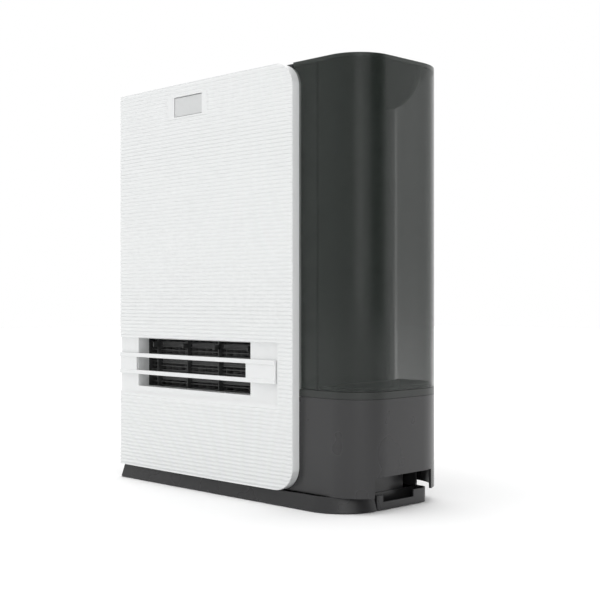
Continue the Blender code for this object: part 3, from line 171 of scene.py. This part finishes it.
def moulded_skin_group():
    """Fine mould grain: a colour, a roughness and a height that vary over the surface."""
    group = bpy.data.node_groups.new("moulded_skin", "ShaderNodeTree")
    face = group.interface
    face.new_socket("Colour", in_out="INPUT", socket_type="NodeSocketColor")
    for name in ("Tone", "Grain", "Roughness", "Roughness Spread"):
        face.new_socket(name, in_out="INPUT", socket_type="NodeSocketFloat")
    face.new_socket("Colour", in_out="OUTPUT", socket_type="NodeSocketColor")
    face.new_socket("Roughness", in_out="OUTPUT", socket_type="NodeSocketFloat")
    face.new_socket("Height", in_out="OUTPUT", socket_type="NodeSocketFloat")
    make, link = group.nodes.new, group.links.new
    given, out = make("NodeGroupInput"), make("NodeGroupOutput")
    place = make("ShaderNodeTexCoord")
    grain = make("ShaderNodeTexNoise")
    grain.inputs["Detail"].default_value = GRAIN_DETAIL
    link(place.outputs["Object"], grain.inputs["Vector"])
    link(given.outputs["Grain"], grain.inputs["Scale"])
    broad = make("ShaderNodeTexNoise")
    broad.inputs["Scale"].default_value = BROAD_SCALE
    broad.inputs["Detail"].default_value = BROAD_DETAIL
    link(place.outputs["Object"], broad.inputs["Vector"])
    centred = make("ShaderNodeMath")
    centred.operation = "SUBTRACT"
    centred.inputs[1].default_value = NOISE_MIDDLE
    link(broad.outputs["Fac"], centred.inputs[0])
    shade = make("ShaderNodeMath")
    shade.operation = "MULTIPLY_ADD"
    shade.inputs[2].default_value = 1.0
    link(centred.outputs[0], shade.inputs[0])
    link(given.outputs["Tone"], shade.inputs[1])
    tint = make("ShaderNodeVectorMath")
    tint.operation = "SCALE"
    link(given.outputs["Colour"], tint.inputs[0])
    link(shade.outputs[0], tint.inputs["Scale"])
    rough = make("ShaderNodeMath")
    rough.operation = "MULTIPLY_ADD"
    link(centred.outputs[0], rough.inputs[0])
    link(given.outputs["Roughness Spread"], rough.inputs[1])
    link(given.outputs["Roughness"], rough.inputs[2])
    link(tint.outputs[0], out.inputs["Colour"])
    link(rough.outputs[0], out.inputs["Roughness"])
    link(grain.outputs["Fac"], out.inputs["Height"])
    return group


MOULDED_SKIN = moulded_skin_group()


def skinned(name, colour, roughness, grain, tone, spread):
    """A new material whose colour and gloss come from the shared skin, and its two nodes."""
    material = bpy.data.materials.new(name)
    material.use_nodes = True
    link = material.node_tree.links.new
    shader = material.node_tree.nodes["Principled BSDF"]
    skin = material.node_tree.nodes.new("ShaderNodeGroup")
    skin.node_tree = MOULDED_SKIN
    skin.inputs["Colour"].default_value = (*colour, 1)
    skin.inputs["Tone"].default_value = tone
    skin.inputs["Grain"].default_value = grain
    skin.inputs["Roughness"].default_value = roughness
    skin.inputs["Roughness Spread"].default_value = spread
    link(skin.outputs["Colour"], shader.inputs["Base Color"])
    link(skin.outputs["Roughness"], shader.inputs["Roughness"])
    return material, shader, skin


def moulded(name, colour, roughness, grain=2600, depth=0.00003, tone=0.08, spread=0.08,
            metallic=0.0, coat=0.0):
    """Moulded or pressed stock with its mould grain in colour, gloss and relief."""
    material, shader, skin = skinned(name, colour, roughness, grain, tone, spread)
    link = material.node_tree.links.new
    relief = material.node_tree.nodes.new("ShaderNodeBump")
    relief.inputs["Strength"].default_value = RELIEF_STRENGTH
    relief.inputs["Distance"].default_value = depth
    link(skin.outputs["Height"], relief.inputs["Height"])
    link(relief.outputs["Normal"], shader.inputs["Normal"])
    shader.inputs["Metallic"].default_value = metallic
    shader.inputs["Coat Weight"].default_value = coat
    return material


def fitted(node, name, material, body, edge=SOFT_EDGE, turn=SHARP_TURN):
    """A CAD piece with its moulded edge radii: faces merged, then every corner eased."""
    shape = bmesh.new()
    shape.from_mesh(nodes[node].data)
    bmesh.ops.remove_doubles(shape, verts=shape.verts, dist=SAME_PLACE)
    bmesh.ops.dissolve_limit(shape, angle_limit=math.radians(FLAT_TURN), verts=shape.verts,
                             edges=shape.edges)
    piece = into_scene(name, shape)
    piece.data.materials.append(material)
    piece.data.shade_smooth()
    piece.data.set_sharp_from_angle(angle=math.radians(turn))
    if edge:
        ease = piece.modifiers.new("moulded_edge", "BEVEL")
        ease.width = edge
        ease.segments = EDGE_STEPS
        ease.limit_method = "ANGLE"
        ease.angle_limit = math.radians(turn)
        ease.harden_normals = True
    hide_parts(node)
    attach(piece, body)
    return piece


GREY_ABS = moulded("grey_abs", (0.023, 0.023, 0.024), 0.28)
fitted("plinth", "plinth_moulding", GREY_ABS, "base", SKIRT_EDGE)

STEEL_ZINC = moulded("zinc_steel", (0.62, 0.62, 0.63), 0.32, grain=900, depth=0.00002,
                     tone=0.06, spread=0.10, metallic=1.0)
for n in FOUR:
    fitted(f"plinth_screw_{n}", f"plinth_screw_body_{n}", STEEL_ZINC, "base", CRISP_EDGE)

PAD_RUBBER = moulded("pad_rubber", (0.028, 0.028, 0.028), 0.85, grain=3200, depth=0.00004,
                     tone=0.12, spread=0.05)
for n in FOUR:
    fitted(f"rubber_foot_{n}", f"rubber_foot_pad_{n}", PAD_RUBBER, "base", PAD_EDGE)


# Main housing. One grey ABS moulding: the tall body, the deep base under the tank and the
# seat in its top, with the tray's mouth cut through the side.
fitted("main_housing", "main_housing_moulding", GREY_ABS, "base", BROAD_EDGE)


# Top and back covers. Thin grey ABS mouldings that close the housing and snap into it; the
# back one carries the intake's slots.
fitted("top_cover", "top_cover_moulding", GREY_ABS, "base", BROAD_EDGE)
fitted("rear_cover", "rear_cover_moulding", GREY_ABS, "base", FINE_EDGE)


# Front panel. A white ABS shell with a fine horizontal rib all over its bowed face, a
# shallow recess round the outlet, and plain lands on both sides of the window.
panel_low, panel_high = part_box("front_panel")
lens_low, lens_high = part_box("display_window")
guard_low, guard_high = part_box("outlet_guard")
PANEL_BOW = 0.0015
BOW_STEPS = 30
RIB_PITCH = 0.0040
RIB_RISE = 0.00120
RIB_STEPS = 8
RIB_FULLNESS = 0.7
RIB_END, RIB_FADE = 0.0002, 0.0010
SIDE_ROUND, FAR_ROUND = 0.0015, 0.0012
SIDE_CUTS, FAR_CUT = (0.0003, 0.0008), 0.0004
CORNER_RADIUS = 0.024
CORNER_STEPS, HOLLOW_STEPS = 24, 16
SIDE_WALL, FACE_WALL = 0.0026, 0.0022
FACE_Y = panel_low.y + PANEL_BOW
LEAST_RUN = 0.001
PAST = 0.01
SLEEVE_MARGIN = 0.004
SLEEVE_WALL, SLEEVE_START = 0.0016, 0.0005
OUTLET_X = (guard_low.x + guard_high.x) / 2
OUTLET_HALF = (guard_high.x - guard_low.x) / 2 - SLEEVE_MARGIN
OUTLET_LEFT, OUTLET_RIGHT = OUTLET_X - OUTLET_HALF, OUTLET_X + OUTLET_HALF
OUTLET_LOW, OUTLET_HIGH = 0.1045, 0.1576
THROAT_GAP = 0.0003
THROAT_BACK = guard_low.y - THROAT_GAP
RECESS_FLOOR = 0.0028
RECESS_LOW, RECESS_MIDDLE, RECESS_HIGH = 0.0994, 0.12, 0.1578
RECESS_RIGHT = 0.0752
RECESS_PAST_SIDE, RECESS_PAST_FACE = 0.02, 0.004
SLOPE_LOW, SLOPE_HIGH, SLOPE_RIGHT = 0.0046, 0.0006, 0.0042
LAND_LEFT, LAND_RIGHT = -0.0918, -0.0254
LAND_LOW, LAND_HIGH = 0.3940, 0.4176
LAND_EDGE = 0.0004
LENS_LAP = 0.0017
PANEL_TURN = 42

WHITE_ABS = moulded("white_abs", (0.79, 0.80, 0.80), 0.36, grain=3000, depth=0.00001,
                    tone=0.02, spread=0.05, coat=0.05)


def bow_at(x):
    """How far the face stands forward of its two side edges."""
    centre = (panel_low.x + panel_high.x) / 2
    half = (panel_high.x - panel_low.x) / 2
    return PANEL_BOW * max(0.0, 1 - ((x - centre) / half) ** 2)


def round_over(radius, inset):
    """How far a rounded edge falls back, at a distance inside the edge."""
    near = max(0.0, 1 - inset / radius)
    return radius * (1 - math.sqrt(max(0.0, 1 - near * near)))


def block(low, high):
    """A box between two opposite corners."""
    shape = bmesh.new()
    bmesh.ops.create_cube(shape, size=1)
    bmesh.ops.scale(shape, vec=Vector(high) - Vector(low), verts=shape.verts)
    bmesh.ops.translate(shape, vec=(Vector(high) + Vector(low)) / 2, verts=shape.verts)
    return shape


def round_right_corners(shape, radius, segments):
    """Round the two edges of a block that run front to back on its right."""
    rounds = [e for e in shape.edges
              if abs(e.verts[0].co.y - e.verts[1].co.y) > LEAST_RUN and e.verts[0].co.x > 0]
    bmesh.ops.bevel(shape, geom=rounds, offset=radius, affect="EDGES", segments=segments,
                    profile=0.5, material=-1)


def worked(piece, shape, operation):
    """Cut or join one shape, with nothing left live."""
    tool = into_scene("tool", shape)
    step = piece.modifiers.new("step", "BOOLEAN")
    step.operation, step.solver, step.object = operation, "EXACT", tool
    bpy.context.view_layer.update()
    graph = bpy.context.evaluated_depsgraph_get()
    result = bpy.data.meshes.new_from_object(piece.evaluated_get(graph))
    piece.modifiers.clear()
    piece.data = result
    bpy.data.objects.remove(tool)


ribs = round((panel_high.z - panel_low.z) / RIB_PITCH)
shape = bmesh.new()
bmesh.ops.create_grid(shape, x_segments=BOW_STEPS, y_segments=ribs * RIB_STEPS, size=0.5)
bmesh.ops.scale(shape, verts=shape.verts,
                vec=(panel_high.x - panel_low.x, panel_high.z - panel_low.z, 1))
bmesh.ops.rotate(shape, verts=shape.verts, matrix=Matrix.Rotation(math.radians(90), 3, "X"))
bmesh.ops.translate(shape, verts=shape.verts, vec=(
    (panel_low.x + panel_high.x) / 2, FACE_Y, (panel_low.z + panel_high.z) / 2))
for x in (*(panel_low.x + cut for cut in SIDE_CUTS), panel_low.x + SIDE_ROUND,
          LAND_LEFT, LAND_LEFT + LAND_EDGE, LAND_RIGHT - LAND_EDGE, LAND_RIGHT,
          panel_high.x - FAR_ROUND, panel_high.x - FAR_CUT):
    bmesh.ops.bisect_plane(shape, geom=shape.verts[:] + shape.edges[:] + shape.faces[:],
                           plane_co=(x, 0, 0), plane_no=(1, 0, 0))
for v in shape.verts:
    x, z = v.co.x, v.co.z
    wave = abs(math.cos(math.pi * (z - panel_low.z) / RIB_PITCH)) ** RIB_FULLNESS
    across_land = LAND_LEFT + LAND_EDGE / 2 < x < LAND_RIGHT - LAND_EDGE / 2
    on_land = across_land and LAND_LOW < z < LAND_HIGH
    fade = min(1.0, max(0.0, (panel_high.x - x - RIB_END) / RIB_FADE))
    drop = 0.0 if on_land else RIB_RISE * (1 - wave) * fade
    drop += round_over(SIDE_ROUND, x - panel_low.x)
    drop += round_over(FAR_ROUND, panel_high.x - x)
    v.co.y = FACE_Y - bow_at(x) + drop
back = bmesh.ops.extrude_face_region(shape, geom=shape.faces[:])
for v in back["geom"]:
    if isinstance(v, bmesh.types.BMVert):
        v.co.y = panel_high.y
bmesh.ops.recalc_face_normals(shape, faces=shape.faces)
panel = into_scene("front_panel_moulding", shape)

outline = block((panel_low.x - PAST, panel_low.y - PAST, panel_low.z),
                (panel_high.x, panel_high.y + PAST, panel_high.z))
round_right_corners(outline, CORNER_RADIUS, CORNER_STEPS)
worked(panel, outline, "INTERSECT")

hollow = block(
    (panel_low.x + SIDE_WALL, FACE_Y + RECESS_FLOOR + FACE_WALL, panel_low.z + SIDE_WALL),
    (panel_high.x - SIDE_WALL, panel_high.y + PAST, panel_high.z - SIDE_WALL))
round_right_corners(hollow, CORNER_RADIUS - SIDE_WALL, HOLLOW_STEPS)
worked(panel, hollow, "DIFFERENCE")

recess = block((panel_low.x - RECESS_PAST_SIDE, panel_low.y - RECESS_PAST_FACE, RECESS_LOW),
               (RECESS_RIGHT, FACE_Y + RECESS_FLOOR, RECESS_HIGH))
for v in recess.verts:
    if v.co.y < FACE_Y:
        reach = (FACE_Y + RECESS_FLOOR - v.co.y) / RECESS_FLOOR
        if v.co.z < RECESS_MIDDLE:
            v.co.z -= SLOPE_LOW * reach
        else:
            v.co.z += SLOPE_HIGH * reach
        if v.co.x > 0:
            v.co.x += SLOPE_RIGHT * reach
worked(panel, recess, "DIFFERENCE")

sleeve = block((OUTLET_LEFT - SLEEVE_WALL, FACE_Y + RECESS_FLOOR + SLEEVE_START,
                OUTLET_LOW - SLEEVE_WALL),
               (OUTLET_RIGHT + SLEEVE_WALL, THROAT_BACK, OUTLET_HIGH + SLEEVE_WALL))
worked(panel, sleeve, "UNION")
throat = block((OUTLET_LEFT, panel_low.y - PAST, OUTLET_LOW),
               (OUTLET_RIGHT, THROAT_BACK + PAST, OUTLET_HIGH))
worked(panel, throat, "DIFFERENCE")
window_hole = block((lens_low.x + LENS_LAP, panel_low.y - PAST, lens_low.z + LENS_LAP),
                    (lens_high.x - LENS_LAP, panel_high.y + PAST, lens_high.z - LENS_LAP))
worked(panel, window_hole, "DIFFERENCE")
panel.data.materials.clear()
panel.data.materials.append(WHITE_ABS)
panel.data.shade_smooth()
panel.data.set_sharp_from_angle(angle=math.radians(PANEL_TURN))
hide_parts("front_panel")
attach(panel, "base")


# Display window. A pale, glossy moulded lens set flush in the panel between its two plain
# lands, and held by a flange behind it.
LENS_CLEAR = moulded("lens_clear", (0.64, 0.65, 0.65), 0.10, grain=400, depth=0.00001,
                     tone=0.02, spread=0.02, coat=0.4)
fitted("display_window", "display_lens", LENS_CLEAR, "base", FINE_EDGE)


# Louvre. Two white ABS bars across the recess, moulded in one with their set-back plates
# and clipped to the panel's sleeve.
fitted("outlet_louvre", "outlet_louvre_bars", WHITE_ABS, "base", BROAD_EDGE)


# Finger guard. A black heat-proof moulding with upright vanes and cross wires, behind the
# louvre. Each vane carries a small tip that stands forward from it.
VANE_PITCH = 0.0516
TIP_HALF, TIP_REACH, TIP_ROOT = 0.0007, 0.0058, 0.0020
TIP_LOW, TIP_HIGH = 0.1475, 0.1530
TIP_EDGE = 0.0002

BLACK_PBT = moulded("black_pbt", (0.042, 0.043, 0.043), 0.50, grain=2400, tone=0.10)
fitted("outlet_guard", "outlet_guard_moulding", BLACK_PBT, "base", CRISP_EDGE)
for n in FOUR:
    x = OUTLET_X + VANE_PITCH * (n - sum(FOUR) / len(FOUR))
    tip = block((x - TIP_HALF, guard_low.y - TIP_REACH, TIP_LOW),
                (x + TIP_HALF, guard_low.y + TIP_ROOT, TIP_HIGH))
    bmesh.ops.bevel(tip, geom=tip.edges[:], offset=TIP_EDGE, affect="EDGES", segments=2,
                    profile=0.5, material=-1)
    tip = into_scene(f"vane_tip_{n}", tip)
    tip.data.materials.append(BLACK_PBT)
    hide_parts("outlet_guard")
    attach(tip, "base")


# Water tank. One shell of clear smoke SAN with a 2.5 mm wall and a thicker roof, welded to
# its foot, with a white cap, a rubber seal and a sprung valve under it. It looks darker
# towards its top and where a wall is seen edge-on.
tank_low, tank_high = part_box("tank_shell")
SMOKE_COLOUR = (0.026, 0.032, 0.028)
EDGE_ON_BLEND = 0.35
DENSEST_FROM = 0.25
ROOF_THICK, ROOF_BLEND, ROOF_DENSER = 0.0035, 0.0003, 0.32
SLANT_START, SLANT_END = 0.0370, 0.0690
SLANT_RIGHT = 0.1245
STEEPEST_RISE = 0.2


def smoke_plastic(name, facing, edge_on, denser):
    """Smoke-tinted clear plastic: how much it hides face on, edge on, and more at the top."""
    material, shader, _ = skinned(name, SMOKE_COLOUR, 0.16, grain=300, tone=0.10, spread=0.03)
    make, link = material.node_tree.nodes.new, material.node_tree.links.new
    slope = make("ShaderNodeLayerWeight")
    slope.inputs["Blend"].default_value = EDGE_ON_BLEND
    depth = make("ShaderNodeMapRange")
    depth.inputs["To Min"].default_value = facing
    depth.inputs["To Max"].default_value = edge_on
    link(slope.outputs["Facing"], depth.inputs["Value"])
    place = make("ShaderNodeTexCoord")
    height = make("ShaderNodeSeparateXYZ")
    link(place.outputs["Object"], height.inputs[0])
    density = depth.outputs["Result"]
    roof_under = tank_high.z - ROOF_THICK
    for low, high, amount in ((tank_low.z, DENSEST_FROM, denser),
                              (roof_under - ROOF_BLEND, roof_under, ROOF_DENSER)):
        band = make("ShaderNodeMapRange")
        band.inputs["From Min"].default_value = low
        band.inputs["From Max"].default_value = high
        band.inputs["To Max"].default_value = amount
        link(height.outputs["Z"], band.inputs["Value"])
        total = make("ShaderNodeMath")
        link(band.outputs["Result"], total.inputs[0])
        link(density, total.inputs[1])
        density = total.outputs[0]
    total.use_clamp = True
    link(density, shader.inputs["Alpha"])
    return material


SMOKE_SAN = smoke_plastic("smoke_san", 0.41, 0.78, 0.09)
SIDE_SAN = smoke_plastic("smoke_san_side_wall", 0.16, 0.16, 0.0)
# Dark ABS for the tank's foot. On the grip cup the same near-black is partly painted shade:
# it stands in for the pocket's shade, and for the extra smoke layers seen in front of it.
DARK_ABS_AND_PAINTED_SHADE = moulded("dark_abs_and_painted_shade", (0.016, 0.019, 0.017), 0.32)
shell = fitted("tank_shell", "tank_shell_moulding", SMOKE_SAN, "tank",
               SKIRT_EDGE, ROUND_TURN)
shell.data.materials.append(SIDE_SAN)
for face in shell.data.polygons:
    on_slant = face.center.x < SLANT_RIGHT and SLANT_START < face.center.y < SLANT_END
    if on_slant and abs(face.normal.z) < STEEPEST_RISE:
        face.material_index = 1
fitted("tank_foot", "tank_foot_moulding", DARK_ABS_AND_PAINTED_SHADE, "tank",
       SOFT_EDGE, ROUND_TURN)
# The grip cup is painted near-black: painted shade for its shaded pocket, given in place of
# the smoke plastic around it.
fitted("tank_grip", "tank_grip_cup_painted_shade", DARK_ABS_AND_PAINTED_SHADE, "tank", FINE_EDGE, ROUND_TURN)
fitted("tank_cap", "tank_cap_moulding", WHITE_ABS, "cap",
       FINE_EDGE, ROUND_TURN)
fitted("cap_seal", "cap_seal_ring", PAD_RUBBER, "cap", CRISP_EDGE, ROUND_TURN)
fitted("valve_plunger", "valve_plunger_moulding", WHITE_ABS, "valve",
       CRISP_EDGE, ROUND_TURN)
fitted("valve_spring", "valve_spring_coil", STEEL_ZINC, "valve", 0.0, COIL_TURN)


# Well, tray and wick under the tank. Grey ABS mouldings: the well is fixed in the base, and
# the tray slides out of the base with the frame that holds the pleated paper-felt wick.
WICK_FELT = moulded("wick_felt", (0.80, 0.86, 0.88), 0.95, grain=1400, depth=0.00018,
                    tone=0.20, spread=0.03)
fitted("valve_well", "valve_well_moulding", GREY_ABS, "base",
       SOFT_EDGE, ROUND_TURN)
fitted("water_tray", "water_tray_moulding", GREY_ABS, "tray",
       SOFT_EDGE, ROUND_TURN)
fitted("wick_frame", "wick_frame_moulding", GREY_ABS, "tray", FINE_EDGE)
fitted("wick_filter", "wick_pleats", WICK_FELT, "tray", CRISP_EDGE)


# Fan and heater behind the guard. A black moulded drum on a steel rod turns in a grey
# casing; a black heat-proof frame holds three finned aluminium elements, with a thermostat
# and a fuse in steel cans beside them.
CREAM_PPS = moulded("cream_pps", (0.74, 0.71, 0.62), 0.55)
COATED_ALUMINIUM = moulded("coated_aluminium", (0.17, 0.17, 0.17), 0.6, grain=900,
                           depth=0.00002, tone=0.10, spread=0.10)
fitted("fan_casing", "fan_casing_moulding", GREY_ABS, "base",
       FINE_EDGE, ROUND_TURN)
fitted("fan_drum", "fan_drum_moulding", BLACK_PBT, "fan", 0.0, ROUND_TURN)
fitted("fan_shaft", "fan_shaft_rod", STEEL_ZINC, "fan", FINE_EDGE)
fitted("shaft_bush", "shaft_bush_ring", CREAM_PPS, "base", FINE_EDGE)
fitted("fan_motor", "fan_motor_can", STEEL_ZINC, "base", CAN_EDGE)
fitted("heater_frame", "heater_frame_moulding", BLACK_PBT, "base", FINE_EDGE)
for n in (1, 2, 3):
    fitted(f"heating_element_{n}", f"heating_element_fins_{n}", COATED_ALUMINIUM, "base",
           0.0)
fitted("thermostat", "thermostat_can", STEEL_ZINC, "base", FINE_EDGE)
fitted("thermal_fuse", "thermal_fuse_body", STEEL_ZINC, "base", FINE_EDGE)


# Boards and their parts. Green laminate on posts inside the body, with a moulded relay, a
# transformer, an aluminium heat sink, the mains terminals, the tip-over switch and the
# gland through which the cord leaves.
SOLDER_MASK = moulded("solder_mask", (0.03, 0.17, 0.07), 0.38, grain=700, depth=0.00002,
                      tone=0.25)
MILL_ALUMINIUM = moulded("mill_aluminium", (0.78, 0.78, 0.79), 0.34, grain=1100,
                         depth=0.00002, tone=0.08, spread=0.12, metallic=1.0)
for node in ("display_board", "button_board", "control_board", "room_sensor"):
    fitted(node, node + "_laminate", SOLDER_MASK, "base", CRISP_EDGE)
fitted("power_relay", "power_relay_case", BLACK_PBT, "base")
fitted("transformer", "transformer_core", CREAM_PPS, "base")
fitted("heat_sink", "heat_sink_fins", MILL_ALUMINIUM, "base", CRISP_EDGE)
fitted("terminal_block", "terminal_block_case", CREAM_PPS, "base", FINE_EDGE)
fitted("tip_over_switch", "tip_over_switch_case", BLACK_PBT, "base")
fitted("cord_gland", "cord_gland_moulding", BLACK_PBT, "base",
       SOFT_EDGE, ROUND_TURN)


# Push buttons. Six moulded white ABS caps, in a row along the front of the top cover and
# above the button board.
for node in ("power", "heat", "humidify", "timer", "temp_down", "temp_up"):
    fitted(f"{node}_button", f"{node}_button_cap", WHITE_ABS, f"{node}_button_body")


# Air filter. A grey ABS frame with a black mesh laid in it, clipped over the intake and
# pulled straight off the back.
fitted("filter_frame", "filter_frame_moulding", GREY_ABS, "air_filter",
       FINE_EDGE)
fitted("filter_mesh", "filter_mesh_sheet", BLACK_PBT, "air_filter", 0.0)
